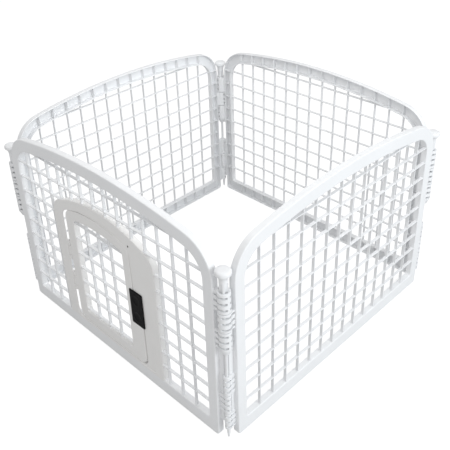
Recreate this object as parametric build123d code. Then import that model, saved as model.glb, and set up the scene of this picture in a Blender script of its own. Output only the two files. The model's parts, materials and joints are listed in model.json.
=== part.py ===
"""Folding pet playpen: four moulded lattice panels hinged on drop-in corner rods.

Millimetres, +Z up.  The origin is on the floor at the middle of the square pen, and the
panel with the door faces -Y.  Every panel is drawn as the one at the front, in its own
frame (x along the panel, y = 0 on the rod axes, outside towards -Y), and then turned
about Z by quarter turns to its side of the square.
"""
from build123d import *
from typing import NamedTuple
import os

# ---------------------------------------------------------------- driving dimensions
AXIS_SPACING = 853.0        # between neighbouring corner rods
PEN_HEIGHT = 603.0          # crown of a panel
END_GAP = 20.0              # from a rod axis to the end of a stile
STILE = 31.0                # width of an upright of the frame
BOTTOM_RAIL = 42.0
TOP_RAIL = 37.0
FRAME_FRONT = -15.7         # outer face of a frame
FRAME_BACK = 2.5            # its open inner side
WALL = 3.0                  # moulded wall of the channel section
RIB = 1.6                   # stiffening rib inside the channel
EDGE_ROUND = 2.2            # round along the outer edges

BAR = 3.2                   # lattice bar, seen from the front
BAR_FRONT = -13.8
BAR_BACK = -4.8
PITCH = 49.8                # from one lattice bar to the next
COLUMNS = 14
ROWS = 10
FIRST_ROW = 95.5            # height of the lowest horizontal bar

# Corner rods and the barrels that they drop through.
ROD_TIP = 1.0
ROD_SHAFT_TOP = 282.0
ROD_STEP_TOP = 298.0
ROD_NECK = 492.0
ROD_TOP = 522.0
THIN_RADIUS = 4.0
THICK_RADIUS = 10.5
CAP_RADIUS = 19.3
BORE_PLAY = 0.5             # radial play of a rod in its barrels
UPPER_BARREL_RADIUS = 16.0
LOWER_BARREL_RADIUS = 8.8
SLOT_HEIGHT = 6.0
SLOT_STEP = 17.0
RIGHT_END_BARRELS = [(408.0, 464.0), (298.0, 352.0), (88.0, 146.0)]
LEFT_END_BARRELS = [(354.0, 406.0), (148.0, 210.0), (33.0, 86.0)]

# Door hinge.
HINGE_X = -168.5
HINGE_Y = -11.2
HINGE_RADIUS = 4.5
PIN_RADIUS = 2.0
FIXED_PLAY = 0.02           # pin in the knuckles of the panel
RUNNING_PLAY = 0.08         # pin in the knuckle of the leaf
KNUCKLE = 15.0              # length of each fixed knuckle
KNUCKLE_GAP = 1.5
DOOR_HINGES = {"upper": (253.0, 315.0), "lower": (143.0, 207.0)}

# Plate between a stile and the rod.
FLANGE_FRONT = -3.5
FLANGE_BACK = -0.3
FLANGE_REACH = 5.5          # distance of its edge from the rod's axis
FLANGE_PLAY = 1.4
FLANGE_FEET = (52.0, 33.0)  # lower ends, at the right and the left end of a panel

# Door leaf and latch.
LEAF_FRONT = -15.2
RECESS_FRONT = -14.2        # latch post, set back inside the raised rim
LATCH = (99.0, 148.0, 187.0, 298.0)         # left, right, bottom, top
LATCH_FRONT = -18.0
LATCH_BACK = -15.6
LATCH_TRAVEL = 14.0
STEM = (112.0, 128.0, 222.0, 262.0)
STEM_PLAY = 1.0
BACKPLATE = (104.0, 132.0, 212.0, 272.0)
BACKPLATE_FRONT = -11.8
BACKPLATE_BACK = -9.0
SCREW_HEIGHTS = [230.0, 254.0]
SCREW_RADIUS = 1.5
SCREW_HEAD_RADIUS = 3.0

HALF = AXIS_SPACING / 2
STILE_END = HALF - END_GAP


class Outline(NamedTuple):
    """An upright outline with a shallow circular arch on top and four round corners."""
    left: float
    right: float
    bottom: float
    crown: float
    arch: float             # radius of the arch
    top_corner: float
    foot_corner: float


PANEL = Outline(-STILE_END, STILE_END, 0, PEN_HEIGHT, 1870, 94, 9)
WINDOW = Outline(STILE - STILE_END, STILE_END - STILE, BOTTOM_RAIL, PEN_HEIGHT - TOP_RAIL, 1833, 66, 6)
SURROUND = Outline(-217, 204, 20, 480, 450, 50, 4)
RIM = Outline(-175, 175, 46, 452, 422, 30, 12)
DOORWAY = Outline(-175, 112, 46, 445.5, 415, 34, 30)
LEAF = Outline(-162, 110, 48, 443.5, 413, 30, 28)
LEAF_WINDOW = Outline(-126, 82, 83, 413, 430, 12, 8)
DOORWAY_FOOT = (-60.0, 142.0, 46.0, 292.0)      # the doorway is wider below the latch
LEAF_FOOT = (-60.0, 137.0, 48.0, 290.0)
FOOT_CORNER = 28.0
THUMB_HOLE = (111.0, 432.0, 3.0)                # x, z, radius
# Beside the door's hinges the surround is only its face plate: left, right, front, back, bottom, top.
HINGE_RELIEF = (RIM.left - WALL - 0.5, RIM.left + 2, FRAME_FRONT + WALL, FRAME_BACK + 1, 76.0, 420.0)


# ---------------------------------------------------------------- flat outlines
def arched(outline, grow=0.0):
    """Face of an outline, moved outwards all round by grow."""
    left = outline.left - grow
    right = outline.right + grow
    bottom = outline.bottom - grow
    crown = outline.crown + grow
    radius = outline.arch + grow
    block = Pos((left + right) / 2, (bottom + crown + 20) / 2) * Rectangle(right - left, crown + 20 - bottom)
    face = block & Pos((left + right) / 2, crown - radius) * Circle(radius)
    feet = face.vertices().group_by(Axis.Y)[0]
    face = fillet(feet, outline.foot_corner + grow)
    shoulders = [v for v in face.vertices() if v.Y > crown - 100 and is_end(v, left, right)]
    return fillet(shoulders, outline.top_corner + grow)


def is_end(vertex, left, right):
    """True for a vertex on the left or right edge of an outline."""
    return min(abs(vertex.X - left), abs(vertex.X - right)) < 0.01


def rounded(box, corner, grow=0.0):
    """Round-cornered rectangle from (left, right, bottom, top), moved outwards by grow."""
    left, right, bottom, top = box
    shape = RectangleRounded(right - left + 2 * grow, top - bottom + 2 * grow, corner + grow)
    return Pos((left + right) / 2, (bottom + top) / 2) * shape


def doorway(grow=0.0):
    """The door opening: arched above, and wider below the latch."""
    return arched(DOORWAY, grow) + rounded(DOORWAY_FOOT, FOOT_CORNER, grow)


def leaf_outline(grow=0.0):
    """The leaf, which has the same stepped edge as its doorway."""
    return arched(LEAF, grow) + rounded(LEAF_FOOT, FOOT_CORNER, grow)


def bars(columns, rows, thickness):
    """Crossed strips at the given x and z positions, long enough for any outline."""
    uprights = [Pos(x, PEN_HEIGHT / 2) * Rectangle(thickness, PEN_HEIGHT) for x in columns]
    levels = [Pos(0, z) * Rectangle(AXIS_SPACING, thickness) for z in rows]
    return Sketch() + uprights + levels


def slab(face, front, back):
    """A flat face (x, z) given thickness from the depth front to the depth back."""
    return Pos(0, back, 0) * Plane.XZ.location * extrude(face, amount=back - front)


def box(left, right, front, back, bottom, top):
    """A block between two corners."""
    centre = Pos((left + right) / 2, (front + back) / 2, (bottom + top) / 2)
    return centre * Box(right - left, back - front, top - bottom)


def column(x, y, bottom, top, radius):
    """An upright cylinder."""
    return Pos(x, y, (bottom + top) / 2) * Cylinder(radius, top - bottom)


# ---------------------------------------------------------------- panels
def lattice_columns():
    return [PITCH * (i - (COLUMNS - 1) / 2) for i in range(COLUMNS)]


def lattice_rows():
    return [FIRST_ROW + PITCH * j for j in range(ROWS)]


def channel(outer, inner, outer_in, inner_out, front, ribs):
    """A frame of channel section: a face plate, a wall along each edge, and ribs between."""
    plate = slab(outer - inner, front, front + WALL)
    rims = plate.edges().filter_by_position(Axis.Y, front - 0.01, front + 0.01)
    plate = fillet(rims, EDGE_ROUND)
    walls = slab((outer - outer_in) + (inner_out - inner), front + WALL, FRAME_BACK)
    stiffeners = slab((outer_in - inner_out) & ribs, front + WALL, FRAME_BACK - 1.5)
    return plate + walls + stiffeners


def barrel(axis_x, stile_x, bottom, top):
    """A slotted hinge barrel joined to its stile by a web, bored for the rod."""
    thick = bottom > ROD_SHAFT_TOP
    outer = UPPER_BARREL_RADIUS if thick else LOWER_BARREL_RADIUS
    bore = (THICK_RADIUS if thick else THIN_RADIUS) + BORE_PLAY
    toward = 1 if stile_x > axis_x else -1
    left, right = sorted([axis_x, stile_x + toward * WALL / 2])
    shape = column(axis_x, 0, bottom, top, outer)
    shape += box(left, right, -0.75 * outer, FRAME_BACK, bottom, top)
    if thick and bottom == ROD_STEP_TOP:
        shape += funnel(axis_x, outer, LOWER_BARREL_RADIUS)
        shape -= funnel(axis_x, bore, THIN_RADIUS + BORE_PLAY)
    shape -= column(axis_x, 0, bottom - 1, top + 1, bore)
    for step in (-1, 0, 1):
        level = (bottom + top) / 2 + step * SLOT_STEP
        shape -= slot(axis_x, toward, -1, outer, level)
        shape -= slot(axis_x, -toward, 1, outer, level)
    return shape


def funnel(axis_x, top_radius, bottom_radius):
    """The cone below the middle barrel, in which the shoulder of the rod sits."""
    depth = ROD_STEP_TOP - ROD_SHAFT_TOP
    return Pos(axis_x, 0, ROD_STEP_TOP - depth / 2) * Cone(bottom_radius, top_radius, depth)


def slot(axis_x, side, face, radius, level):
    """A level slot through one quarter of a barrel's wall."""
    left, right = sorted([axis_x + side * 1.5, axis_x + side * (radius + 1)])
    front, back = sorted([face * 1.5, face * (radius + 1)])
    return box(left, right, front, back, level - SLOT_HEIGHT / 2, level + SLOT_HEIGHT / 2)


def flange(axis_x, stile_x, bottom, own, neighbours):
    """A thin plate from the stile towards the rod, behind which a panel's barrels line up.

    It is cut back round the thick part of the rod and round the next panel's barrels.
    """
    toward = 1 if stile_x > axis_x else -1
    left, right = sorted([axis_x + toward * FLANGE_REACH, stile_x + toward * WALL / 2])
    top = own[0][1]
    shape = box(left, right, FLANGE_FRONT, FLANGE_BACK, bottom, top)
    shape -= column(axis_x, 0, ROD_SHAFT_TOP, top + 1, THICK_RADIUS + FLANGE_PLAY)
    for low, high in neighbours:
        thick = low > ROD_SHAFT_TOP
        radius = (UPPER_BARREL_RADIUS if thick else LOWER_BARREL_RADIUS) + FLANGE_PLAY
        low = ROD_SHAFT_TOP if low == ROD_STEP_TOP else low
        shape -= column(axis_x, 0, low - FLANGE_PLAY, high + FLANGE_PLAY, radius)
    return shape


def barrels():
    """All six barrels of a panel, three at each end, at heights that interleave."""
    right = [barrel(HALF, STILE_END, *span) for span in RIGHT_END_BARRELS]
    left = [barrel(-HALF, -STILE_END, *span) for span in LEFT_END_BARRELS]
    return right + left


def flanges():
    """The plate at each end of a panel."""
    right = flange(HALF, STILE_END, FLANGE_FEET[0], RIGHT_END_BARRELS, LEFT_END_BARRELS)
    left = flange(-HALF, -STILE_END, FLANGE_FEET[1], LEFT_END_BARRELS, RIGHT_END_BARRELS)
    return [right, left]


def panel_frame():
    ribs = bars(lattice_columns(), lattice_rows(), RIB)
    return channel(arched(PANEL), arched(WINDOW), arched(PANEL, -WALL), arched(WINDOW, WALL), FRAME_FRONT, ribs)


def plain_panel():
    """A panel with a full lattice."""
    lattice = bars(lattice_columns(), lattice_rows(), BAR) & arched(WINDOW, WALL / 2)
    shape = panel_frame() + slab(lattice, BAR_FRONT, BAR_BACK)
    return shape + flanges() + barrels()


def fixed_knuckles():
    """The knuckles of the door hinge that belong to the panel."""
    parts = []
    for bottom, top in DOOR_HINGES.values():
        for low in (bottom, top - KNUCKLE):
            knuckle = column(HINGE_X, HINGE_Y, low, low + KNUCKLE, HINGE_RADIUS)
            knuckle += box(DOORWAY.left - WALL / 2, HINGE_X, FRAME_FRONT, -8, low, low + KNUCKLE)
            parts.append(knuckle - column(HINGE_X, HINGE_Y, low - 1, low + KNUCKLE + 1, PIN_RADIUS + FIXED_PLAY))
    return parts


def door_panel():
    """The front panel: the lattice stops at a moulded surround with the doorway in it."""
    surround = arched(SURROUND)
    free_window = arched(WINDOW, WALL / 2) - arched(SURROUND, -WALL / 2)
    lattice = bars(lattice_columns(), lattice_rows(), BAR) & free_window
    ribs = bars([], lattice_rows(), RIB)
    rim = channel(surround, arched(RIM), arched(SURROUND, -WALL), arched(RIM, WALL), FRAME_FRONT, ribs)
    post = slab(arched(RIM, WALL / 2) - doorway(), RECESS_FRONT, RECESS_FRONT + WALL)
    lip = slab(doorway(WALL) - doorway(), RECESS_FRONT + WALL, FRAME_BACK)
    shape = panel_frame() + slab(lattice, BAR_FRONT, BAR_BACK) + rim
    shape -= slab(doorway(), FRAME_FRONT - 1, FRAME_BACK + 1)
    shape += post
    shape += lip
    x, z, radius = THUMB_HOLE
    shape -= slab(Pos(x, z) * Circle(radius), FRAME_FRONT - 1, FRAME_BACK + 1)
    shape -= box(*HINGE_RELIEF)
    return shape + fixed_knuckles() + flanges() + barrels()


# ---------------------------------------------------------------- door
def leaf_knuckles():
    """One long knuckle of the leaf in each hinge, between the two fixed ones."""
    parts = []
    for bottom, top in DOOR_HINGES.values():
        low = bottom + KNUCKLE + KNUCKLE_GAP
        high = top - KNUCKLE - KNUCKLE_GAP
        knuckle = column(HINGE_X, HINGE_Y, low, high, HINGE_RADIUS)
        knuckle += box(HINGE_X, LEAF.left + WALL / 2, LEAF_FRONT, -8, low, high)
        parts.append(knuckle - column(HINGE_X, HINGE_Y, low - 1, high + 1, PIN_RADIUS + RUNNING_PLAY))
    return parts


def door_leaf():
    """The leaf: a channel frame with its own lattice, and a slot for the latch."""
    middle = (LEAF_WINDOW.left + LEAF_WINDOW.right) / 2
    columns = [middle + PITCH * i for i in (-1, 0, 1)]
    ribs = bars(columns, lattice_rows(), RIB)
    window = arched(LEAF_WINDOW)
    shape = channel(leaf_outline(), window, leaf_outline(-WALL), arched(LEAF_WINDOW, WALL), LEAF_FRONT, ribs)
    lattice = bars(columns, lattice_rows(), BAR) & arched(LEAF_WINDOW, WALL / 2)
    shape += slab(lattice, BAR_FRONT, BAR_BACK)
    left, right, bottom, top = BACKPLATE
    plate_back = LEAF_FRONT + WALL
    shape -= box(left - 2, right + 1.5, plate_back, FRAME_BACK + 1, bottom - 4, top + LATCH_TRAVEL + 2)
    left, right, bottom, top = STEM
    stem_top = top + LATCH_TRAVEL + STEM_PLAY
    shape -= box(left - STEM_PLAY, right + STEM_PLAY, LEAF_FRONT - 1, plate_back, bottom - STEM_PLAY, stem_top)
    return shape + leaf_knuckles()


def hinge_pin(span):
    """A steel pin through one door hinge, a little short of the knuckles' ends."""
    bottom, top = span
    return chamfer(column(HINGE_X, HINGE_Y, bottom + 1, top - 1, PIN_RADIUS).edges(), 0.4)


# ---------------------------------------------------------------- latch
def screw_holes(front, back, radius):
    """Holes for the two latch screws, which run along Y."""
    x = (STEM[0] + STEM[1]) / 2
    return [slab(Pos(x, z) * Circle(radius), front, back) for z in SCREW_HEIGHTS]


def latch_slide():
    """The black slide on the outside: a plate with a finger grip, and a stem behind it."""
    plate = slab(rounded(LATCH, 5), LATCH_FRONT, LATCH_BACK)
    front_edges = plate.edges().filter_by_position(Axis.Y, LATCH_FRONT - 0.01, LATCH_FRONT + 0.01)
    plate = fillet(front_edges, 0.9)
    left, right, bottom, top = STEM
    shape = plate + box(left, right, LATCH_BACK, BACKPLATE_FRONT, bottom, top)
    return shape - screw_holes(LATCH_BACK + 0.4, BACKPLATE_FRONT + 1, SCREW_RADIUS + 0.05)


def latch_backplate():
    """The plate on the inside that keeps the slide on the leaf."""
    plate = slab(rounded(BACKPLATE, 4), BACKPLATE_FRONT, BACKPLATE_BACK)
    return plate - screw_holes(BACKPLATE_FRONT - 1, BACKPLATE_BACK + 1, SCREW_RADIUS + 0.05)


def latch_screw(height):
    """A pan-head screw from the inside, through the backplate into the stem."""
    x = (STEM[0] + STEM[1]) / 2
    head = slab(Pos(x, height) * Circle(SCREW_HEAD_RADIUS), BACKPLATE_BACK, BACKPLATE_BACK + 1.8)
    shank = slab(Pos(x, height) * Circle(SCREW_RADIUS), LATCH_BACK + 1.0, BACKPLATE_BACK)
    drive = slab(Pos(x, height) * Rectangle(3.6, 0.8), BACKPLATE_BACK + 0.9, BACKPLATE_BACK + 3)
    return head + shank - drive


# ---------------------------------------------------------------- corner rods
def corner_rod():
    """A drop-in rod: thin below, thick above, with a trumpet-shaped cap to pull it by."""
    side = Polyline(
        (0, ROD_TOP), (0, ROD_TIP), (2.2, ROD_TIP), (THIN_RADIUS, ROD_TIP + 14),
        (THIN_RADIUS, ROD_SHAFT_TOP), (THICK_RADIUS, ROD_STEP_TOP), (THICK_RADIUS, ROD_NECK),
    )
    flare = ThreePointArc((THICK_RADIUS, ROD_NECK), (13.2, ROD_NECK + 13), (CAP_RADIUS, ROD_NECK + 20))
    rim = Polyline((CAP_RADIUS, ROD_NECK + 20), (CAP_RADIUS, ROD_TOP - 3))
    crown = ThreePointArc((CAP_RADIUS, ROD_TOP - 3), (CAP_RADIUS - 1, ROD_TOP - 0.9), (CAP_RADIUS - 3, ROD_TOP))
    top = Line((CAP_RADIUS - 3, ROD_TOP), (0, ROD_TOP))
    face = make_face([*side.edges(), *flare.edges(), *rim.edges(), *crown.edges(), *top.edges()])
    return revolve(Plane.XZ.location * face, Axis.Z)


# ---------------------------------------------------------------- assembly
SIDES = ["front", "right", "back", "left"]


def on_side(shape, side):
    """Carry a shape drawn in the panel frame to its side of the square."""
    return Rot(0, 0, 90 * SIDES.index(side)) * Pos(0, -HALF, 0) * shape


def assembly():
    """Every separate piece, in its place."""
    pieces = {"door_panel": on_side(door_panel(), "front")}
    plain = plain_panel()
    for side in SIDES[1:]:
        pieces[f"{side}_panel"] = on_side(plain, side)
    pieces["door_leaf"] = on_side(door_leaf(), "front")
    for name, span in DOOR_HINGES.items():
        pieces[f"door_hinge_pin_{name}"] = on_side(hinge_pin(span), "front")
    pieces["latch_slide"] = on_side(latch_slide(), "front")
    pieces["latch_backplate"] = on_side(latch_backplate(), "front")
    for name, height in zip(("lower", "upper"), SCREW_HEIGHTS):
        pieces[f"latch_screw_{name}"] = on_side(latch_screw(height), "front")
    rod = corner_rod()
    for side in SIDES:
        corner = {"front": "front_right", "right": "back_right", "back": "back_left", "left": "front_left"}[side]
        pieces[f"corner_rod_{corner}"] = on_side(Pos(HALF, 0, 0) * rod, side)
    return pieces


os.makedirs("parts", exist_ok=True)
for node, piece in assembly().items():
    export_step(piece, f"parts/{node}.step")
    print(f"{node}: {len(piece.solids())} solid, {piece.volume / 1000:.1f} cm3")
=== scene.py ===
# %% [markdown]
# # A folding pet playpen
# The pen is four moulded panels of white polypropylene. Each panel is a frame of channel
# section with a lattice across it, and hinge barrels at its two ends. A drop-in rod joins
# the panels at each corner, and the front panel has a small arched door with a black latch.
#
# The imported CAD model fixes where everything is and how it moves. Here each visible piece
# is made again as a finer surface, worked out with numpy in the frame of one panel, and
# then turned to its side of the square.

# %% The frame
import json

import bpy
import numpy as np
from mathutils import Matrix, Vector


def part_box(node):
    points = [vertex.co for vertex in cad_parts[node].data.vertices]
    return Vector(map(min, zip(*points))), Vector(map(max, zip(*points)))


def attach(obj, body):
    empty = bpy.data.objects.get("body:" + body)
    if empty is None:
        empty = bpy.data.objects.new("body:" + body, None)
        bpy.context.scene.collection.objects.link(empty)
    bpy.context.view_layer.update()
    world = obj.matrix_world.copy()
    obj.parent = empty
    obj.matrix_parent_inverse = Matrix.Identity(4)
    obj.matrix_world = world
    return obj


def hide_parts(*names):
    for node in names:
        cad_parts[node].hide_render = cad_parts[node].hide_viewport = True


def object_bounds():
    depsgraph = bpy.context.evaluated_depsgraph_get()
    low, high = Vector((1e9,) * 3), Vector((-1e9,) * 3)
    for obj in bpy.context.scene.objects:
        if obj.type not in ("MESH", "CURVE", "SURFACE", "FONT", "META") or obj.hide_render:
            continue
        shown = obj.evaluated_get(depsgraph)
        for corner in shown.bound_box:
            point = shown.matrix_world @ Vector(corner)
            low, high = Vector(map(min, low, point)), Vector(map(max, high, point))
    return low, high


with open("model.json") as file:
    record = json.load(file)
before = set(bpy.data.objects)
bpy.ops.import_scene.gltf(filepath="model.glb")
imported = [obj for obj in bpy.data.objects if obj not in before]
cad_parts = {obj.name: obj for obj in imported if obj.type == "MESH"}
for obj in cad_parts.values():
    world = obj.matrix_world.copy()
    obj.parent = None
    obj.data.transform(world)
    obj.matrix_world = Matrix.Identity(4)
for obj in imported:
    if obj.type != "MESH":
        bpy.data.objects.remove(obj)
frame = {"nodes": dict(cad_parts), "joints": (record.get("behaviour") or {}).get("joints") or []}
cad_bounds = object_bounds()
joints = {joint["name"]: joint for joint in frame["joints"]}

# %% [markdown]
# ## Camera
# The camera stands in front of the corner between the door panel and the right-hand panel,
# a little over twice the pen's height, and looks down into the pen. Its direction is given
# as three unit vectors, which hold a slight roll too. The lens shift frames the pen as a
# cropped picture does, without turning the camera.

# %% Camera
CAMERA_PLACE = Vector((1.2465, -1.2229, 1.4169))
CAMERA_FORWARD = Vector((-0.62015, 0.59856, -0.50708))
CAMERA_UP = Vector((-0.33787, 0.37957, 0.86126))
LENS_MM = 54.96
SENSOR_MM = 36.0


def make_camera():
    """A camera from its place, forward and up directions; right is their cross product."""
    data = bpy.data.cameras.new("camera")
    data.lens = LENS_MM
    data.sensor_width = SENSOR_MM
    data.shift_x = 0.0163
    data.shift_y = -0.1050
    camera = bpy.data.objects.new("camera", data)
    bpy.context.scene.collection.objects.link(camera)
    back = -CAMERA_FORWARD.normalized()
    right = CAMERA_UP.cross(back).normalized()
    up = back.cross(right)
    turn = Matrix((right, up, back)).transposed()
    camera.matrix_world = Matrix.Translation(CAMERA_PLACE) @ turn.to_4x4()
    bpy.context.scene.camera = camera


make_camera()

# %% [markdown]
# ## Light
# White plastic on a white floor shows its shape only through gentle differences. A large
# soft light stands to the right, so the right-hand panel's outside is the brightest face
# and the door panel's outside stays a soft grey. A weaker one in front keeps the corner
# open, a wide one overhead lifts the top edges, and a small one hangs over the pen and
# lights the insides of the two far panels. The white surroundings fill in the rest.
#
# The surroundings and the floor are brighter for the camera's own rays than in the light
# that they cast. So the ground stays white while the plastic keeps its greys.

# %% Light and floor
def area_light(name, place, target, size, power, colour):
    """A square soft light at place that points at target."""
    data = bpy.data.lights.new(name, "AREA")
    data.shape = "SQUARE"
    data.size = size
    data.energy = power
    data.color = colour
    light = bpy.data.objects.new(name, data)
    bpy.context.scene.collection.objects.link(light)
    light.location = place
    aim = Vector(target) - Vector(place)
    light.rotation_euler = aim.to_track_quat("-Z", "Y").to_euler()


def seen_and_cast(nodes, link, socket, seen, cast):
    """Feed socket with seen for the camera's own rays, and with cast for all others."""
    blend = nodes.new("ShaderNodeMapRange")
    blend.inputs["To Min"].default_value = cast
    blend.inputs["To Max"].default_value = seen
    link(nodes.new("ShaderNodeLightPath").outputs["Is Camera Ray"], blend.inputs["Value"])
    link(blend.outputs["Result"], socket)


def white_surroundings(seen, cast):
    """An even white world, seen brighter than the light it casts."""
    world = bpy.data.worlds.new("surroundings")
    world.use_nodes = True
    nodes = world.node_tree.nodes
    background = nodes["Background"]
    background.inputs["Color"].default_value = (1.0, 1.0, 1.0, 1.0)
    seen_and_cast(nodes, world.node_tree.links.new, background.inputs["Strength"], seen, cast)
    bpy.context.scene.world = world


def studio_floor(size, paper, seen, cast):
    """A wide pale floor with a glow of its own, so that it stays white to its edge."""
    mesh = bpy.data.meshes.new("floor")
    corners = np.array([(-1, -1), (1, -1), (1, 1), (-1, 1)]) * size / 2
    level = cad_bounds[0][2] - 0.0005
    mesh.from_pydata([(x, y, level) for x, y in corners], [], [(0, 1, 2, 3)])
    floor = bpy.data.objects.new("floor", mesh)
    bpy.context.scene.collection.objects.link(floor)
    material = bpy.data.materials.new("floor_paper")
    material.use_nodes = True
    nodes = material.node_tree.nodes
    shader = nodes["Principled BSDF"]
    shader.inputs["Base Color"].default_value = (paper, paper, paper, 1.0)
    shader.inputs["Roughness"].default_value = 1.0
    shader.inputs["Specular IOR Level"].default_value = 0.0
    shader.inputs["Emission Color"].default_value = (1.0, 1.0, 1.0, 1.0)
    seen_and_cast(nodes, material.node_tree.links.new, shader.inputs["Emission Strength"], seen, cast)
    mesh.materials.append(material)


bpy.context.scene.view_settings.view_transform = "Standard"
white_surroundings(1.05, 0.64)
area_light("key_right", (3.1, 0.4, 1.4), (0.2, 0.0, 0.25), 1.6, 43.0, (0.92, 0.97, 1.0))
area_light("front_fill", (2.4, -2.6, 2.2), (0.0, 0.0, 0.3), 1.8, 17.0, (1.0, 0.985, 0.96))
area_light("overhead", (-0.1, 0.3, 3.2), (0.0, 0.0, 0.3), 2.0, 10.0, (1.0, 1.0, 1.0))
area_light("inner_fill", (0.1, -0.1, 1.25), (-0.4, 0.4, 0.3), 0.5, 2.2, (1.0, 0.995, 0.985))
studio_floor(16.0, 0.35, 0.8, 0.24)

# %% [markdown]
# ## Measures
# The lengths below are the pen's own, in millimetres. What the CAD model can tell is read
# from it: the rods' spacing comes from a fold joint, and the height from a panel's box.

# %% Measures
MM = 0.001
HALF = joints["fold_front_right"]["pos_m"][0] / MM
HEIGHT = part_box("right_panel")[1][2] / MM
STILE_END = HALF - 20.0
STILE = 31.0
BOTTOM_RAIL = 42.0
TOP_RAIL = 37.0
FRAME_FRONT = -15.7
FRAME_BACK = 2.5
WALL = 3.0
PITCH = 49.8
COLUMNS = PITCH * (np.arange(14) - 6.5)
ROWS = 95.5 + PITCH * np.arange(10)
print(f"rods {2 * HALF:.0f} mm apart, panels {HEIGHT:.0f} mm high")

# %% [markdown]
# ## Outlines
# Frame, window, door surround, doorway and leaf all have the same kind of outline: a
# rectangle with a shallow circular arch on top and four round corners. One function draws
# it from seven numbers, and can move it outwards by any distance, which is how walls and
# rounded edges get their place. The leaf and its doorway are wider below the latch, so
# their right-hand foot is drawn as a separate step.

# %% Outlines
def arc(x, z, radius, start, end, count=9):
    """Points on a circle about (x, z), from the angle start to end, in radians."""
    angle = np.linspace(start, end, count)
    return np.stack([x + radius * np.cos(angle), z + radius * np.sin(angle)], axis=1)


def arched(shape, grow=0.0):
    """An arched outline, anticlockwise from its right foot.

    Each shoulder is a circle that touches the side and the arch from inside: its centre is
    one shoulder radius from the side, and (arch - shoulder) radii from the arch's centre.
    """
    left, right, bottom, crown, arch, shoulder, foot = shape[:7]
    left, right, bottom, crown = left - grow, right + grow, bottom - grow, crown + grow
    arch, shoulder, foot = arch + grow, shoulder + grow, foot + grow
    middle, low = (left + right) / 2, crown - arch
    reach = right - shoulder - middle
    rise = np.sqrt((arch - shoulder) ** 2 - reach**2)
    turn = np.arctan2(rise, reach)
    right_foot = arc(right - foot, bottom + foot, foot, -np.pi / 2, 0)
    if len(shape) > 7:
        right_foot = stepped_foot(right, bottom, shape[7], shape[8], foot, grow)
    return np.concatenate([
        right_foot,
        arc(middle + reach, low + rise, shoulder, 0, turn),
        arc(middle, low, arch, turn, np.pi - turn, 41)[1:-1],
        arc(middle - reach, low + rise, shoulder, np.pi - turn, np.pi),
        arc(left + foot, bottom + foot, foot, np.pi, 1.5 * np.pi),
    ])


def stepped_foot(right, bottom, step_right, step_top, radius, grow):
    """The wider part below the latch: two round corners, up to where its top meets the side."""
    x = step_right + grow - radius
    top_z = step_top + grow - radius
    meet = np.arccos(np.clip((right - x) / radius, -1, 1))
    low_corner = arc(x, bottom + radius, radius, -np.pi / 2, 0)
    return np.concatenate([low_corner, arc(x, top_z, radius, 0, meet)])


def along_rays(points, centre, angles):
    """Where rays from centre at the given angles cross a closed outline round it.

    For the segment from p to q, a ray with direction d crosses at the distance
    (p x (q - p)) / (d x (q - p)), with x as the flat cross product.
    """
    spokes = points - centre
    around = np.unwrap(np.arctan2(spokes[:, 1], spokes[:, 0]))
    around, spokes = np.append(around, around[0] + 2 * np.pi), np.vstack([spokes, spokes[:1]])
    wrapped = around[0] + np.mod(angles - around[0], 2 * np.pi)
    k = np.clip(np.searchsorted(around, wrapped, side="right") - 1, 0, len(points) - 1)
    p, edge = spokes[k], spokes[k + 1] - spokes[k]
    ray = np.stack([np.cos(angles), np.sin(angles)], axis=1)
    distance = cross(p, edge) / cross(ray, edge)
    return centre + ray * distance[:, None]


def cross(a, b):
    return a[:, 0] * b[:, 1] - a[:, 1] * b[:, 0]


def shared_angles(centre, *outlines):
    """The directions from centre of every point of the outlines, sorted, without doubles."""
    spokes = np.concatenate(outlines) - centre
    angles = np.sort(np.arctan2(spokes[:, 1], spokes[:, 0]))
    keep = np.append(True, np.diff(angles) > 2e-4)
    return angles[keep]


PANEL = (-STILE_END, STILE_END, 0.0, HEIGHT, 1870.0, 94.0, 9.0)
WINDOW = (STILE - STILE_END, STILE_END - STILE, BOTTOM_RAIL, HEIGHT - TOP_RAIL, 1833.0, 66.0, 6.0)
SURROUND = (-217.0, 204.0, 20.0, 480.0, 450.0, 50.0, 4.0)
RIM = (-175.0, 175.0, 46.0, 452.0, 422.0, 30.0, 12.0)
DOORWAY = (-174.7, 112.0, 46.3, 445.5, 415.0, 34.0, 28.0, 142.0, 292.0)
LEAF = (-162.0, 110.0, 48.0, 443.5, 413.0, 30.0, 28.0, 137.0, 290.0)
LEAF_WINDOW = (-126.0, 82.0, 83.0, 413.0, 430.0, 12.0, 8.0)
print("panel outline has", len(arched(PANEL)), "points")

# %% [markdown]
# ## Surfaces into meshes
# Every piece ends up as arrays of points and faces. These helpers turn a grid of points
# into faces, put several such shells into one object, and carry a piece from the frame of
# a panel to its side of the pen. A face keeps its sharp edges wherever it turns by more
# than 35 degrees.

# %% Mesh helpers
SIDES = ["front", "right", "back", "left"]


def grid_faces(rows, columns, close_rows, close_columns):
    """Quads over a grid of points that are numbered row by row."""
    row_count, column_count = rows - (not close_rows), columns - (not close_columns)
    i, j = np.meshgrid(np.arange(row_count), np.arange(column_count), indexing="ij")
    below, beside = (i + 1) % rows, (j + 1) % columns
    quads = [i * columns + j, below * columns + j, below * columns + beside, i * columns + beside]
    return np.stack(quads, axis=-1).reshape(-1, 4)


def to_side(points, side):
    """From the frame of a panel, in millimetres, to the pen, in metres."""
    turn = np.pi / 2 * SIDES.index(side)
    x, y, z = points[:, 0], points[:, 1] - HALF, points[:, 2]
    turned = [x * np.cos(turn) - y * np.sin(turn), x * np.sin(turn) + y * np.cos(turn), z]
    return np.stack(turned, axis=1) * MM


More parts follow.
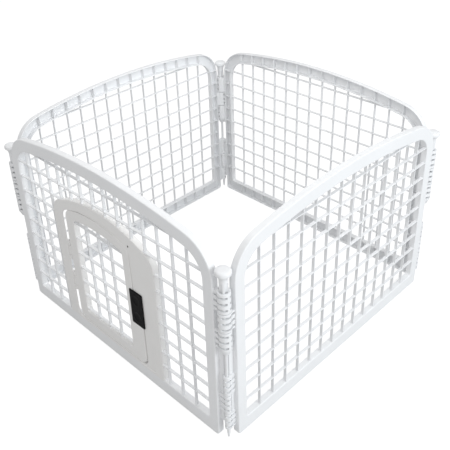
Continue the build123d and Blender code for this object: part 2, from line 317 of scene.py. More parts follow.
def facing_out(points, faces):
    """The faces, turned round if the shell's signed volume is negative.

    The volume is the sum of a . (b x c) / 6 over the triangles (a, b, c) of every face.
    """
    faces = np.asarray(faces, dtype=object).tolist()
    fans = np.array([(face[0], face[i], face[i + 1])
                     for face in faces for i in range(1, len(face) - 1)])
    a, b, c = points[fans[:, 0]], points[fans[:, 1]], points[fans[:, 2]]
    volume = np.einsum("ij,ij->i", a, np.cross(b, c)).sum() / 6
    return faces if volume > 0 else [face[::-1] for face in faces]


def slab(outline, front, back):
    """A flat outline (x, z) given thickness between two depths: two caps and a wall."""
    count = len(outline)
    ends = [np.column_stack([outline[:, 0], np.full(count, depth), outline[:, 1]])
            for depth in (front, back)]
    caps = [list(range(count)), list(range(2 * count - 1, count - 1, -1))]
    return np.concatenate(ends), grid_faces(2, count, False, True).tolist() + caps


def block(left, right, front, back, bottom, top):
    """A slab over a rectangle."""
    corners = [(left, bottom), (right, bottom), (right, top), (left, top)]
    return slab(np.array(corners, float), front, back)


def make_object(name, shells, side, material):
    """One object from shells, each a pair of points and faces in the panel's frame."""
    points, faces, start = [], [], 0
    for shell_points, shell_faces in shells:
        points.append(shell_points)
        faces += [[start + corner for corner in face]
                  for face in facing_out(shell_points, shell_faces)]
        start += len(shell_points)
    mesh = bpy.data.meshes.new(name)
    mesh.from_pydata(to_side(np.concatenate(points), side).tolist(), [], faces)
    shade(mesh)
    mesh.materials.append(material)
    piece = bpy.data.objects.new(name, mesh)
    bpy.context.scene.collection.objects.link(piece)
    return piece


def shade(mesh):
    """Smooth shading, except over edges that turn by more than 35 degrees."""
    mesh.validate()
    mesh.shade_smooth()
    mesh.set_sharp_from_angle(angle=np.radians(35))


def cut(piece, shells, side, keep_material):
    """Cut the shells out of a piece for good, with an exact boolean."""
    cutter = make_object("cutter", shells, side, keep_material)
    boolean = piece.modifiers.new("cut", "BOOLEAN")
    boolean.operation, boolean.solver, boolean.object = "DIFFERENCE", "EXACT", cutter
    ready = piece.evaluated_get(bpy.context.evaluated_depsgraph_get())
    mesh = bpy.data.meshes.new_from_object(ready)
    piece.modifiers.clear()
    piece.data = mesh
    shade(mesh)
    bpy.data.objects.remove(cutter)


# %% [markdown]
# ## White plastic
# Polypropylene is a little waxy: off-white, satin, with a faint flow pattern from the
# mould and a very fine spark-eroded grain. A shader group makes both from noise on Object
# coordinates, so that they stay fixed to the piece. The group puts out a colour, a
# roughness and a normal, and each material keeps its own Principled shader.

# %% The moulded surface group
def moulded_surface():
    """Shader group: flow marks in the colour, uneven gloss, and a fine grain as a bump."""
    group = bpy.data.node_groups.new("moulded_surface", "ShaderNodeTree")
    inputs = [("Colour", "NodeSocketColor"), ("Flow", "NodeSocketFloat"), ("Gloss", "NodeSocketFloat"),
              ("Grain Scale", "NodeSocketFloat"), ("Grain Depth", "NodeSocketFloat")]
    for name, kind in inputs:
        group.interface.new_socket(name, in_out="INPUT", socket_type=kind)
    outputs = [("Colour", "NodeSocketColor"), ("Roughness", "NodeSocketFloat"),
               ("Normal", "NodeSocketVector")]
    for name, kind in outputs:
        group.interface.new_socket(name, in_out="OUTPUT", socket_type=kind)
    nodes, link = group.nodes, group.links.new
    given, out = nodes.new("NodeGroupInput"), nodes.new("NodeGroupOutput")
    place = nodes.new("ShaderNodeTexCoord").outputs["Object"]

    flow = nodes.new("ShaderNodeTexNoise")
    flow.inputs["Scale"].default_value = 9.0
    flow.inputs["Detail"].default_value = 4.0
    flow.inputs["Distortion"].default_value = 0.6
    link(place, flow.inputs["Vector"])
    tint = nodes.new("ShaderNodeMapRange")
    tint.inputs["From Min"].default_value = 0.3
    tint.inputs["From Max"].default_value = 0.7
    tint.inputs["To Min"].default_value = 1.0
    link(flow.outputs["Fac"], tint.inputs["Value"])
    less = nodes.new("ShaderNodeMath")
    less.operation = "SUBTRACT"
    less.inputs[0].default_value = 1.0
    link(given.outputs["Flow"], less.inputs[1])
    link(less.outputs["Value"], tint.inputs["To Max"])
    shade = nodes.new("ShaderNodeVectorMath")
    shade.operation = "SCALE"
    link(given.outputs["Colour"], shade.inputs[0])
    link(tint.outputs["Result"], shade.inputs["Scale"])
    link(shade.outputs["Vector"], out.inputs["Colour"])

    uneven = nodes.new("ShaderNodeTexNoise")
    uneven.inputs["Scale"].default_value = 60.0
    uneven.inputs["Detail"].default_value = 3.0
    link(place, uneven.inputs["Vector"])
    spread = nodes.new("ShaderNodeMapRange")
    spread.inputs["To Min"].default_value = -0.06
    spread.inputs["To Max"].default_value = 0.06
    link(uneven.outputs["Fac"], spread.inputs["Value"])
    gloss = nodes.new("ShaderNodeMath")
    gloss.operation = "ADD"
    link(spread.outputs["Result"], gloss.inputs[0])
    link(given.outputs["Gloss"], gloss.inputs[1])
    link(gloss.outputs["Value"], out.inputs["Roughness"])

    grain = nodes.new("ShaderNodeTexNoise")
    grain.inputs["Detail"].default_value = 2.0
    link(place, grain.inputs["Vector"])
    link(given.outputs["Grain Scale"], grain.inputs["Scale"])
    bump = nodes.new("ShaderNodeBump")
    bump.inputs["Distance"].default_value = 0.0002
    link(grain.outputs["Fac"], bump.inputs["Height"])
    link(given.outputs["Grain Depth"], bump.inputs["Strength"])
    link(bump.outputs["Normal"], out.inputs["Normal"])
    return group


SURFACE = moulded_surface()


def moulded_plastic(name, colour, flow, gloss, grain_scale, grain_depth):
    """A plastic with the moulded surface, and a shader of its own."""
    material = bpy.data.materials.new(name)
    material.use_nodes = True
    nodes, link = material.node_tree.nodes, material.node_tree.links.new
    skin = nodes.new("ShaderNodeGroup")
    skin.node_tree = SURFACE
    skin.inputs["Colour"].default_value = (*colour, 1.0)
    skin.inputs["Flow"].default_value = flow
    skin.inputs["Gloss"].default_value = gloss
    skin.inputs["Grain Scale"].default_value = grain_scale
    skin.inputs["Grain Depth"].default_value = grain_depth
    shader = nodes["Principled BSDF"]
    shader.inputs["IOR"].default_value = 1.49
    link(skin.outputs["Colour"], shader.inputs["Base Color"])
    link(skin.outputs["Roughness"], shader.inputs["Roughness"])
    link(skin.outputs["Normal"], shader.inputs["Normal"])
    return material


panel_white = moulded_plastic("panel_white", (0.85, 0.86, 0.875), 0.03, 0.42, 900.0, 0.25)
door_white = moulded_plastic("door_white", (0.845, 0.84, 0.832), 0.03, 0.42, 900.0, 0.25)
rod_white = moulded_plastic("rod_white", (0.85, 0.86, 0.875), 0.03, 0.36, 700.0, 0.15)
latch_black = moulded_plastic("latch_black", (0.006, 0.006, 0.007), 0.25, 0.42, 1200.0, 0.35)
latch_black.node_tree.nodes["Principled BSDF"].inputs["Specular IOR Level"].default_value = 0.05

# %% [markdown]
# ## Steel
# The hinge pins and the latch screws are plated steel. Their finish is a noise that is
# squeezed along one axis, so that it becomes fine drawn lines in the gloss and in the bump.

# %% Drawn steel
def drawn_steel(name, colour, stretch):
    """A metal with fine lines; stretch scales the noise along x, y and z."""
    material = bpy.data.materials.new(name)
    material.use_nodes = True
    nodes, link = material.node_tree.nodes, material.node_tree.links.new
    shader = nodes["Principled BSDF"]
    shader.inputs["Base Color"].default_value = (*colour, 1.0)
    shader.inputs["Metallic"].default_value = 1.0
    squeeze = nodes.new("ShaderNodeMapping")
    squeeze.inputs["Scale"].default_value = stretch
    link(nodes.new("ShaderNodeTexCoord").outputs["Object"], squeeze.inputs["Vector"])
    lines = nodes.new("ShaderNodeTexNoise")
    lines.inputs["Scale"].default_value = 1.0
    lines.inputs["Detail"].default_value = 3.0
    link(squeeze.outputs["Vector"], lines.inputs["Vector"])
    gloss = nodes.new("ShaderNodeMapRange")
    gloss.inputs["To Min"].default_value = 0.24
    gloss.inputs["To Max"].default_value = 0.42
    link(lines.outputs["Fac"], gloss.inputs["Value"])
    link(gloss.outputs["Result"], shader.inputs["Roughness"])
    bump = nodes.new("ShaderNodeBump")
    bump.inputs["Strength"].default_value = 0.2
    bump.inputs["Distance"].default_value = 0.0001
    link(lines.outputs["Fac"], bump.inputs["Height"])
    link(bump.outputs["Normal"], shader.inputs["Normal"])
    return material


pin_steel = drawn_steel("pin_steel", (0.56, 0.57, 0.58), (3000.0, 3000.0, 60.0))
screw_steel = drawn_steel("screw_steel", (0.5, 0.5, 0.51), (400.0, 2500.0, 2500.0))

# %% [markdown]
# ## The channel frame
# Seen in section, the frame is a shallow tray: a flat outer face with rounded edges, a
# wall along each edge, and open towards the inside of the pen. That section is a closed
# profile, carried once round the frame. Each point of the profile is given as a distance
# from the outer or the inner outline and a depth, so the same profile fits the wide rail
# at the bottom and the narrow stiles.

# %% Channel frame
EDGE = 3.0
LIP = 0.5


def rounded_edge(which, inward, front, radius, count=6):
    """A quarter circle of the profile, from the wall round to the face.

    A point at the angle a lies radius * (1 - cos a) from the outline and
    radius * (1 - sin a) behind the face.
    """
    angle = np.linspace(0, np.pi / 2, count)
    return [(which, inward * radius * (1 - np.cos(a)), front + radius * (1 - np.sin(a))) for a in angle]


def channel_profile(front, back, radius):
    """The closed profile: outer wall, rounded face, inner wall, and back inside the tray."""
    outside = [("outer", 0, back - LIP)] + rounded_edge("outer", -1, front, radius)
    inside = rounded_edge("inner", 1, front, radius)[::-1] + [("inner", 0, back - LIP)]
    face = [("outer", -radius - 0.6, front), ("inner", radius + 0.6, front)]
    tray = [("inner", LIP, back), ("inner", WALL - LIP, back), ("inner", WALL, back - LIP),
            ("inner", WALL, front + WALL), ("outer", -WALL, front + WALL),
            ("outer", -WALL, back - LIP), ("outer", -WALL + LIP, back), ("outer", -LIP, back)]
    return outside + face + inside + tray


def carry_round(outer, inner, profile):
    """A closed profile carried once round between two outlines, as a shell."""
    centre = np.array([(inner[0] + inner[1]) / 2, (inner[2] + inner[3]) / 2])
    angles = shared_angles(centre, arched(outer), arched(inner))
    shapes = {"outer": outer, "inner": inner}
    rings = []
    for which, grow, depth in profile:
        flat = along_rays(arched(shapes[which], grow), centre, angles)
        rings.append(np.stack([flat[:, 0], np.full(len(flat), depth), flat[:, 1]], axis=1))
    points = np.concatenate(rings)
    return points, grid_faces(len(profile), len(angles), True, True)


frame_shell = carry_round(PANEL, WINDOW, channel_profile(FRAME_FRONT, FRAME_BACK, EDGE))
print("frame shell:", len(frame_shell[1]), "faces")

# %% [markdown]
# ## Lattice and ribs
# A lattice bar is a slim beam with softened edges, a little narrower at the front so that
# it leaves the mould. A beam is an eight-sided section carried along a straight line and
# closed at both ends. The same beam, thinner, makes the ribs inside the channel.

# %% Lattice
BAR_FRONT = -13.8
BAR_BACK = -4.8
BAR = 3.2
RIB = 1.6
SOFT = 0.6


def beam(start, end, front, back, width, upright, draft=0.25):
    """An eight-sided bar between two places along x or z, tapered by draft towards the front."""
    half = width / 2
    across = np.array([half, half - SOFT, SOFT - half, -half, -half, SOFT - half, half - SOFT, half])
    depth = np.array([back - SOFT, back, back, back - SOFT, front + SOFT, front, front, front + SOFT])
    across = across - np.sign(across) * draft * (back - depth) / (back - front)
    ends = []
    for x, z in (start, end):
        ends.append(np.stack([x + across * upright, depth, z + across * (1 - upright)], axis=1))
    faces = grid_faces(2, 8, False, True).tolist() + [list(range(8)), list(range(15, 7, -1))]
    if not upright:
        faces = [face[::-1] for face in faces]
    return np.concatenate(ends), faces


def height_at(shape, x, grow=0.0):
    """Top of an arched outline at x, by its arch or, near the side, by its shoulder."""
    top = arched(shape, grow)
    upper = top[top[:, 1] > (shape[2] + shape[3]) / 2]
    order = np.argsort(upper[:, 0])
    return np.interp(x, upper[order, 0], upper[order, 1])


def reach_at(shape, z, grow=0.0):
    """Left and right ends of an arched outline at the height z."""
    centre = np.array([(shape[0] + shape[1]) / 2, z])
    ends = along_rays(arched(shape, grow), centre, np.array([np.pi, 0.0]))
    return ends[0, 0], ends[1, 0]


def lattice(window, columns, rows, hole=None):
    """Bars across a window, leaving out whatever lies behind the outline hole."""
    grip = WALL / 2
    shells = []
    for x in columns:
        spans = [(window[2] - grip, height_at(window, x, grip))]
        if hole and hole[0] < x < hole[1]:
            spans = [(height_at(hole, x, -grip), spans[0][1])]
        shells += [beam((x, low), (x, high), BAR_FRONT, BAR_BACK, BAR, 1) for low, high in spans]
    for z in rows:
        left, right = reach_at(window, z, grip)
        spans = [(left, right)]
        if hole and z < hole[3]:
            near, far = reach_at(hole, z, -grip)
            spans = [(left, near), (far, right)]
        shells += [beam((a, z), (b, z), BAR_FRONT + 0.15, BAR_BACK - 0.15, BAR, 0) for a, b in spans]
    return shells


def frame_ribs():
    """Ribs across the channel of the frame, in line with the bars."""
    front, back = FRAME_FRONT + WALL - 0.5, FRAME_BACK - 1.5
    shells = []
    for x in COLUMNS:
        top = height_at(WINDOW, x), height_at(PANEL, x)
        shells.append(beam((x, WALL - 1), (x, BOTTOM_RAIL - WALL + 1), front, back, RIB, 1, 0.1))
        shells.append(beam((x, top[0] + WALL - 1), (x, top[1] - WALL + 1), front, back, RIB, 1, 0.1))
    for z in ROWS[:-1]:
        for side in (-1, 1):
            ends = sorted([side * (STILE_END - WALL + 1), side * (STILE_END - STILE + WALL - 1)])
            shells.append(beam((ends[0], z), (ends[1], z), front, back, RIB, 0, 0.1))
    return shells


print("bars in a plain panel:", len(lattice(WINDOW, COLUMNS, ROWS)))

# %% [markdown]
# ## Hinge barrels
# A barrel is a tube with level slots through its wall, which let the mould draw out
# sideways. It could be cut with booleans, but a grid does it cleanly: the wall is divided
# into cells by angle and height, the cells that fall in a slot are left out, and every
# edge where a solid cell meets an empty one gets a face through the wall.
#
# A notched block, the web, joins each barrel to its stile. A thin flange fills the space
# between stile and rod, and its free edge steps back round whatever turns there.

# %% Barrels
ROD_RADIUS = {"thick": 10.5, "thin": 4.0}
BARREL_RADIUS = {"thick": 16.0, "thin": 8.8}
PLAY = 0.5
SHOULDER = (282.0, 298.0)
SLOT = 6.0
SLOT_STEP = 17.0
GROOVE = {"thick": 0.0, "thin": 0.5}
BARREL_CELLS = 48
FLANGE_FRONT = -3.5
FLANGE_BACK = -0.3
FLANGE_REACH = 5.5
FLANGE_PLAY = 1.4
FLANGE_FEET = (52.0, 33.0)
WEB_FRONT = 0.75
NOTCH_FLOOR = 0.3
WEB_NEAR = 0.5
WEB_PLAY = 0.3
OPEN_REACH = 18.5
OPEN_BESIDE_ROD = (211.5, 283.0)
OPEN_ENDS = {("back", -1), ("left", 1)}
RIGHT_BARRELS = [(408.0, 464.0), (298.0, 352.0), (88.0, 146.0)]
LEFT_BARRELS = [(354.0, 406.0), (148.0, 210.0), (33.0, 86.0)]


def cell_shell(heights, outer, inner, solid, turns):
    """The wall of a tube as cells; solid says which of them are there.

    heights, outer and inner give each level's height and radii, and turns the angles.
    """
    levels, count = len(heights), len(turns)
    circle = np.stack([np.cos(turns), np.sin(turns)], axis=1)
    skins = []
    for radius in (outer, inner):
        ring = circle[None, :, :] * np.asarray(radius)[:, None, None]
        z = np.broadcast_to(np.asarray(heights)[:, None, None], (levels, count, 1))
        skins.append(np.concatenate([ring, z], axis=2).reshape(-1, 3))
    points = np.concatenate(skins)
    row, column = np.meshgrid(np.arange(levels - 1), np.arange(count), indexing="ij")
    after = (column + 1) % count
    a, b = row * count + column, row * count + after
    c, d = (row + 1) * count + after, (row + 1) * count + column
    skip = levels * count
    faces = [np.stack([a, b, c, d], -1)[solid], np.stack([d, c, b, a], -1)[solid] + skip]
    below = solid & ~np.vstack([np.zeros((1, count), bool), solid[:-1]])
    above = solid & ~np.vstack([solid[1:], np.zeros((1, count), bool)])
    before = solid & ~np.roll(solid, 1, axis=1)
    behind = solid & ~np.roll(solid, -1, axis=1)
    for mask, p, q in ((below, b, a), (above, d, c), (before, a, d), (behind, c, b)):
        faces.append(np.stack([p, q, q + skip, p + skip], -1)[mask])
    return points, np.concatenate(faces)


def slot_middles(bottom, top):
    """Heights of a barrel's three slots."""
    return (bottom + top) / 2 + SLOT_STEP * np.array([-1, 0, 1])


def barrel(axis_x, web_side, bottom, top):
    """A slotted barrel; the slots are cut through over part of the turn, in two quarters."""
    kind = "thick" if bottom > SHOULDER[0] else "thin"
    outer, bore = BARREL_RADIUS[kind], ROD_RADIUS[kind] + PLAY
    groove = np.array([-SLOT / 2, 0.5 - SLOT / 2, SLOT / 2 - 0.5, SLOT / 2])
    inside_heights = np.add.outer(slot_middles(bottom, top), groove).ravel()
    heights = np.concatenate([[bottom, bottom + 1], inside_heights, [top - 1, top]])
    outers = np.full(len(heights), outer)
    outers[[0, -1]] -= 1
    outers[2:-2] -= np.tile([0, 1, 1, 0], 3) * GROOVE[kind]
    inners = np.full(len(heights), bore)
    if bottom == SHOULDER[1]:
        heights = np.insert(heights[1:], 0, [SHOULDER[0], SHOULDER[0] + 1, bottom])
        thin = BARREL_RADIUS["thin"]
        outers = np.insert(outers[1:], 0, [thin - 0.8, thin, outer - 0.4])
        thin_bore = ROD_RADIUS["thin"] + PLAY
        inners = np.insert(inners[1:], 0, [thin_bore, thin_bore + 0.4, bore])
    turns = np.linspace(0, 2 * np.pi, BARREL_CELLS, endpoint=False)
    middle_of_cell = turns + np.pi / BARREL_CELLS
    level = (heights[:-1] + heights[1:]) / 2
    in_slot = np.abs(level[:, None] - slot_middles(bottom, top)[None, :]).min(axis=1) < SLOT / 2
    x, y = web_side * np.cos(middle_of_cell), np.sin(middle_of_cell)
    through = ((y < -0.3) & (x > -0.95)) | ((y > 0.12) & (x < 0.25))
    solid = ~(in_slot[:, None] & through[None, :])
    points, faces = cell_shell(heights, outers, inners, solid, turns)
    return points + np.array([axis_x, 0, 0]), faces


def web(axis_x, web_side, bottom, top):
    """The block between a barrel and its stile: a comb of depth and height, carried along x.

    The barrel's three slots run on into it as notches. Its near end stays outside the bore.
    """
    kind = "thick" if bottom > SHOULDER[0] else "thin"
    radius = BARREL_RADIUS[kind]
    front, floor_of_notch, back = -WEB_FRONT * radius, -NOTCH_FLOOR * radius, FRAME_BACK - 0.4
    edges = np.add.outer(slot_middles(bottom, top), [-SLOT / 2, -SLOT / 2, SLOT / 2, SLOT / 2]).ravel()
    comb = np.column_stack([np.tile([front, floor_of_notch, floor_of_notch, front], 3), edges])
    low, high = bottom + WEB_PLAY, top - WEB_PLAY
    outline = np.concatenate([[(back, low), (front, low)], comb, [(front, high), (back, high)]])
    bore = ROD_RADIUS[kind] + PLAY
    near, far = axis_x + web_side * (bore + WEB_NEAR), axis_x + web_side * (HALF - STILE_END + 1.5)
    points, faces = slab(outline, near, far)
    return points[:, [1, 0, 2]], faces


def flange(axis_x, stile_side, bottom, own, others, open_spans):
    """The thin plate that fills the space between stile and rod.

    Its free edge keeps a small distance from the rod, and steps back round the thick part
    of the rod and round the barrels of the next panel.
    """
    reach_by_height = [(bottom, own[0][1], FLANGE_REACH),
                       (SHOULDER[0], own[0][1], ROD_RADIUS["thick"] + FLANGE_PLAY)]
    reach_by_height += [(low, high, OPEN_REACH) for low, high in open_spans]
    for low, high in others:
        kind = "thick" if low > SHOULDER[0] else "thin"
        low = SHOULDER[0] if low == SHOULDER[1] else low
        reach_by_height.append((low - FLANGE_PLAY, high + FLANGE_PLAY, BARREL_RADIUS[kind] + FLANGE_PLAY))
    steps = np.unique(np.concatenate([(low, high) for low, high, _ in reach_by_height]))
    steps = steps[(steps >= bottom) & (steps <= own[0][1])]
    middles = (steps[:-1] + steps[1:]) / 2
    reach = np.array([max(r for low, high, r in reach_by_height if low < z < high) for z in middles])
    edge = np.column_stack([np.repeat(reach, 2), np.repeat(steps, 2)[1:-1]])
    root = HALF - STILE_END + WALL / 2
    outline = np.concatenate([edge, [(root, steps[-1]), (root, steps[0])]])
    outline[:, 0] = axis_x + stile_side * outline[:, 0]
    return slab(outline if stile_side < 0 else outline[::-1], FLANGE_FRONT, FLANGE_BACK)


def panel_barrels(side):
    """All six barrels of a panel with their webs, and the flange at each end.

    At the back left corner the flanges stop short beside the thin part of the rod, so
    daylight shows on both sides of it.
    """
    shells = []
    ends = [(HALF, -1, FLANGE_FEET[0], RIGHT_BARRELS, LEFT_BARRELS),
            (-HALF, 1, FLANGE_FEET[1], LEFT_BARRELS, RIGHT_BARRELS)]
    for axis_x, web_side, foot, spans, others in ends:
        open_spans = [OPEN_BESIDE_ROD] if (side, web_side) in OPEN_ENDS else []
        shells.append(flange(axis_x, web_side, foot, spans, others, open_spans))
        for span in spans:
            shells.append(barrel(axis_x, web_side, *span))
            shells.append(web(axis_x, web_side, *span))
    return shells


# %% [markdown]
# ## Plain panels
# The three plain panels are the same moulding. Each becomes three objects, because the
# frame, the lattice and the barrels are checked and smoothed apart, and all three ride on
# the panel's body.

# %% Plain panels
def ride_as(piece, body):
    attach(piece, body)


def panel_pieces(side, bars):
    """The three objects of one panel, each riding on the panel's body."""
    body = f"{'door' if side == 'front' else side}_panel"
    made = [make_object(f"{body}_frame", [frame_shell], side, panel_white),
            make_object(f"{body}_lattice", bars, side, panel_white),
            make_object(f"{body}_barrels", panel_barrels(side), side, panel_white)]
    for piece in made:
        ride_as(piece, body)
    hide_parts(body)


for plain_side in SIDES[1:]:
    panel_pieces(plain_side, lattice(WINDOW, COLUMNS, ROWS) + frame_ribs())

# %% [markdown]
# ## Door surround
# The door panel has the same frame and lattice, with an arched surround moulded into it.
# Its raised rim is one more channel, carried between the surround's outline and the rim's.
# Inside the rim, set back by a millimetre and a half, a flat plate reaches to the doorway:
# it is wide on the latch side, where it is the post that the latch closes against.

# %% Door surround
RECESS_FRONT = -14.2


def post_profile():
    """Closed profile of the recessed plate and of the lip round the doorway."""
    tuck = 2.6
    return ([("outer", tuck, RECESS_FRONT), ("inner", 1.6, RECESS_FRONT)]
            + rounded_edge("inner", 1, RECESS_FRONT, 1.0, 4)[::-1]
            + [("inner", 0, FRAME_BACK - LIP), ("inner", LIP, FRAME_BACK), ("inner", 2.0, FRAME_BACK),
               ("inner", 2.4, FRAME_BACK - LIP), ("inner", 2.4, RECESS_FRONT + WALL),
               ("outer", tuck, RECESS_FRONT + WALL)])


HIDDEN = 0.03
HINGE_RELIEF = (-182.0, -165.0, FRAME_FRONT + WALL)


def shallow_beside_hinges(shell):
    """Cut the walls back to a small depth between two places in x, so light passes the hinges."""
    points, faces = shell
    left, right, depth = HINGE_RELIEF
    beside = (points[:, 0] > left) & (points[:, 0] < right)
    points[beside, 1] = np.minimum(points[beside, 1], depth)
    return points, faces


rim_shell = carry_round(SURROUND, RIM, channel_profile(FRAME_FRONT + HIDDEN, FRAME_BACK - HIDDEN, 2.2))
post_shell = carry_round(RIM, DOORWAY, post_profile())
panel_pieces("front", lattice(WINDOW, COLUMNS, ROWS, SURROUND) + frame_ribs())
surround = make_object("door_surround", [shallow_beside_hinges(rim_shell)], "front", door_white)
post = make_object("door_post", [shallow_beside_hinges(post_shell)], "front", door_white)
THUMB_HOLE = (111.0, 432.0, 3.0)
cut(post, [slab(arc(*THUMB_HOLE, 0, 2 * np.pi, 25)[:-1], -20, 5)], "front", door_white)
# The black disc in the thumb hole is painted shade. It stands for the shadow inside the hole, which is
# cut right through the post.
hole_shade_outline = arc(THUMB_HOLE[0], THUMB_HOLE[1], 2.9, 0, 2 * np.pi, 25)[:-1]
hole_shade_disc = make_object("thumb_hole_painted_shade", [slab(hole_shade_outline, -13.4, -11.6)], "front", latch_black)
for surround_piece in (surround, post):
    ride_as(surround_piece, "door_panel")
ride_as(hole_shade_disc, "door_panel")

# %% [markdown]
# Along the hinge side of the surround runs a ladder of low moulded ridges.

# %% Ridges beside the hinge
RIDGE = (-211.0, -201.0)
RIDGE_STEP = PITCH / 4
ridge_heights = 104.0 + RIDGE_STEP * np.arange(22)
ridges = make_object(
    "hinge_side_ridges",
    [beam((RIDGE[0], z), (RIDGE[1], z), FRAME_FRONT - 0.45, FRAME_FRONT + 1, 2.6, 0, 0.1)
     for z in ridge_heights],
    "front", door_white)
ride_as(ridges, "door_panel")

# %% [markdown]
# ## Leaf
# The leaf is a channel frame too, between its stepped outline and its own arched window,
# with a lattice of three columns. Its edges are rounder than the panel's.

# %% Leaf
LEAF_FRONT = -15.2
LEAF_MIDDLE = (LEAF_WINDOW[0] + LEAF_WINDOW[1]) / 2
leaf_columns = LEAF_MIDDLE + PITCH * np.array([-1, 0, 1])
leaf_rows = ROWS[ROWS < LEAF_WINDOW[3]]
leaf_shell = carry_round(LEAF, LEAF_WINDOW, channel_profile(LEAF_FRONT, FRAME_BACK, EDGE))
leaf = make_object("door_leaf_frame", [leaf_shell], "front", door_white)
leaf_bars = make_object(
    "door_leaf_lattice", lattice(LEAF_WINDOW, leaf_columns, leaf_rows), "front", panel_white)
for leaf_piece in (leaf, leaf_bars):
    ride_as(leaf_piece, "door")
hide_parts("door_leaf")

# The latch's stem goes through the leaf's face, and its backplate slides behind that face.
# Both boxes are left, right, front, back, bottom and top, and leave room for the travel.
STEM_SLOT = (111.0, 129.0, -20.0, LEAF_FRONT + WALL, 221.0, 277.0)
PLATE_ROOM = (102.0, 133.5, LEAF_FRONT + WALL + 0.05, FRAME_BACK + 1, 208.0, 288.0)
cut(leaf, [block(*STEM_SLOT), block(*PLATE_ROOM)], "front", door_white)
print("leaf with the latch's slot and the backplate's room:", len(leaf.data.polygons), "faces")

# %% [markdown]
# ## Door hinges
# Each hinge has three knuckles on one steel pin: two short ones on the panel, and a long
# one between them on the leaf. A knuckle is a tube made by the same cell function as the
# barrels, with nothing left out, and a small block that ties it to its side.

# %% Door hinges
HINGE = (-168.5, -11.2)
KNUCKLE_RADIUS = 4.5
KNUCKLE = 15.0
PIN_BORE = 2.15
HINGE_SPANS = [(253.0, 315.0), (143.0, 207.0)]


def knuckle(bottom, top, side, front):
    """A tube round the pin, and a block towards the panel (-1) or the leaf (+1)."""
    heights = np.array([bottom, bottom + 0.5, top - 0.5, top])
    outer = KNUCKLE_RADIUS - np.array([0.5, 0, 0, 0.5])
    turns = np.linspace(0, 2 * np.pi, 28, endpoint=False)
    solid = np.ones((3, len(turns)), bool)
    points, faces = cell_shell(heights, outer, np.full(4, PIN_BORE), solid, turns)
    ends = sorted([HINGE[0] + side * 2.6, HINGE[0] + side * 8.0])
    level = (bottom + top) / 2
    tie = beam((ends[0], level), (ends[1], level), front, -8.0, top - bottom - 0.4, 0, 0)
    return [(points + np.array([*HINGE, 0]), faces), tie]


fixed, swinging = [], []
for low, high in HINGE_SPANS:
    fixed += knuckle(low, low + KNUCKLE, -1, FRAME_FRONT + 0.1)
    fixed += knuckle(high - KNUCKLE, high, -1, FRAME_FRONT + 0.1)
    swinging += knuckle(low + KNUCKLE + 1.5, high - KNUCKLE - 1.5, 1, LEAF_FRONT + 0.1)
ride_as(make_object("fixed_knuckles", fixed, "front", door_white), "door_panel")
ride_as(make_object("leaf_knuckles", swinging, "front", door_white), "door")

# %% [markdown]
# ## Corner rods
# A rod is a surface of angle and height. Low down it is a thin round shaft with a blunt
# tip. Above the shoulder it is cored out to a cross of four ribs, set diagonally to the
# panels, and at the top it flares into a trumpet-shaped cap with a domed top. In the
# cored part the radius at the angle t from a rib is half the rib's thickness over sin t,
# kept between the core's radius and the rod's.

# %% Corner rods
RIB_HALF = 2.6
CORE = 4.6
THICK = ROD_RADIUS["thick"]
CORED = (302.0, 489.0)
FLARE = 493.0


def rod_turns():
    """Angles round the rod that fall on the corners of its ribs."""
    flank = np.arcsin(RIB_HALF / np.linspace(THICK, CORE, 5))
    half_sector = np.concatenate([[0, flank[0] / 2], flank, [np.pi / 4]])
    sector = np.concatenate([-half_sector[:0:-1], half_sector[:-1]])
    return np.concatenate([sector + np.pi / 4 + k * np.pi / 2 for k in range(4)])


def crossed(turns):
    """Radius of the cored section at each angle."""
    from_rib = np.abs(np.mod(turns, np.pi / 2) - np.pi / 4)
    with np.errstate(divide="ignore"):
        flank = RIB_HALF / np.sin(from_rib)
    return np.clip(flank, CORE, THICK)


def rod_shell():
    """The rod as rings of (height, radius), with True where the section is cored out."""
    base, top = 1.0, 522.0
    thin = ROD_RADIUS["thin"]
    levels = [(base, 0.01, False), (base, 1.8, False), (base + 0.8, 2.4, False),
              (base + 14, thin, False), (SHOULDER[0], thin, False), (SHOULDER[1], THICK, False),
              (CORED[0], THICK, False), (CORED[0], THICK, True), (CORED[1], THICK, True),
              (CORED[1], THICK, False), (FLARE, THICK, False)]
    for a in np.linspace(0.15, 1.0, 7):
        levels.append((FLARE + 18 * a, THICK + 8.8 * a**2.2, False))
    dome = [(512.5, 19.3), (515.5, 19.3), (517.6, 18.9), (519.4, 17.8), (520.7, 15.9),
            (521.5, 13.0), (521.9, 9.0), (top, 4.0), (top, 0.01)]
    levels += [(height, radius, False) for height, radius in dome]
    turns = rod_turns()
    circle = np.stack([np.cos(turns), np.sin(turns)], axis=1)
    rings = []
    for height, radius, cored in levels:
        reach = crossed(turns) if cored else np.full(len(turns), radius)
        flat = circle * reach[:, None]
        rings.append(np.column_stack([flat[:, 0] + HALF, flat[:, 1], np.full(len(turns), height)]))
    faces = grid_faces(len(levels), len(turns), False, True)[:, ::-1]
    return np.concatenate(rings), faces


CORNERS = {"front": "front_right", "right": "back_right", "back": "back_left", "left": "front_left"}
for rod_side, corner in CORNERS.items():
    rod = make_object(f"rod_{corner}_shape", [rod_shell()], rod_side, rod_white)
    ride_as(rod, f"rod_{corner}")
    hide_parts(f"corner_rod_{corner}")

# %% [markdown]
# ## Latch
# The latch is a black slide on the outside of the leaf, with two round finger dishes. Its
# face is a stack of rounded rectangles, each set further in than the last until they meet
# in the middle, and a function of x and z pushes the dishes in. Behind it are a stem
# through the leaf, a plate on the inside and two screws. The plate and the screws keep
# their CAD shapes, as the hinge pins do, and only get a new finish.

# %% Latch slide
LATCH = (99.0, 148.0, 187.0, 298.0)
LATCH_FRONT = -18.0
LATCH_BACK = -15.6
DISHES = [(123.5, 270.0), (123.5, 216.0)]
DISH_RADIUS = 15.5
DISH_RING = 0.35


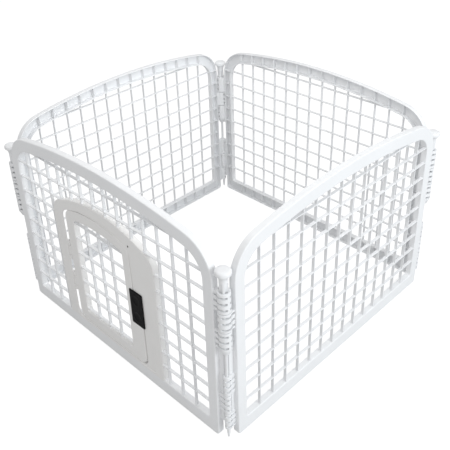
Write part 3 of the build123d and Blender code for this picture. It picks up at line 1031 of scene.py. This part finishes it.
def rounded_box(box, corner, inset):
    """A rectangle with round corners, set in all round; every inset has as many points."""
    left, right, bottom, top = box[0] + inset, box[1] - inset, box[2] + inset, box[3] - inset
    r = max(corner - inset, 0.0)
    corners = [arc(right - r, bottom + r, r, -np.pi / 2, 0, 6),
               arc(right - r, top - r, r, 0, np.pi / 2, 6),
               arc(left + r, top - r, r, np.pi / 2, np.pi, 6),
               arc(left + r, bottom + r, r, np.pi, 1.5 * np.pi, 6)]
    runs = []
    for k, steps in enumerate((56, 20, 56, 20)):
        t = np.linspace(0, 1, steps + 2)[1:-1, None]
        runs += [corners[k], corners[k][-1] * (1 - t) + corners[(k + 1) % 4][0] * t]
    return np.concatenate(runs)


def dished(x, z):
    """Depth pushed in at (x, z): two bowls, each with a low raised ring round it."""
    depth = np.zeros_like(x)
    for place in DISHES:
        r = np.hypot(x - place[0], z - place[1])
        ring = DISH_RING * np.exp(-(((r - DISH_RADIUS) / 1.3) ** 2))
        depth += 1.0 * np.clip(1 - (r / DISH_RADIUS) ** 2, 0, 1) - ring
    return depth


def latch_shell():
    """The slide as rings, from the middle of its back over its edge to the middle of its face."""
    half = (LATCH[1] - LATCH[0]) / 2
    edge = 0.9
    rows = [(half, LATCH_BACK), (0.0, LATCH_BACK)]
    rows += [(edge * (1 - np.cos(a)), LATCH_FRONT + edge * (1 - np.sin(a)))
             for a in np.linspace(0, np.pi / 2, 5)]
    rows += [(inset, LATCH_FRONT) for inset in np.linspace(edge + 0.4, half, 26)]
    rings = []
    for index, (inset, depth) in enumerate(rows):
        flat = rounded_box(LATCH, 3.0, inset)
        push = dished(flat[:, 0], flat[:, 1]) if index > 6 else 0
        rings.append(np.column_stack([flat[:, 0], np.full(len(flat), depth) + push, flat[:, 1]]))
    return np.concatenate(rings), grid_faces(len(rows), len(rings[0]), False, True)


slide = make_object("latch_slide_shape", [latch_shell(), block(112, 128, -16.4, -11.9, 222, 262)],
                    "front", latch_black)
merge = slide.modifiers.new("join_middle", "WELD")
merge.merge_threshold = 0.00002
ride_as(slide, "latch")
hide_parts("latch_slide")

CAD_FINISHES = {"latch_backplate": latch_black,
                "latch_screw_lower": screw_steel, "latch_screw_upper": screw_steel,
                "door_hinge_pin_lower": pin_steel, "door_hinge_pin_upper": pin_steel}
for node, finish in CAD_FINISHES.items():
    frame["nodes"][node].data.materials[0] = finish
print("CAD nodes kept, with a new finish:", ", ".join(CAD_FINISHES))
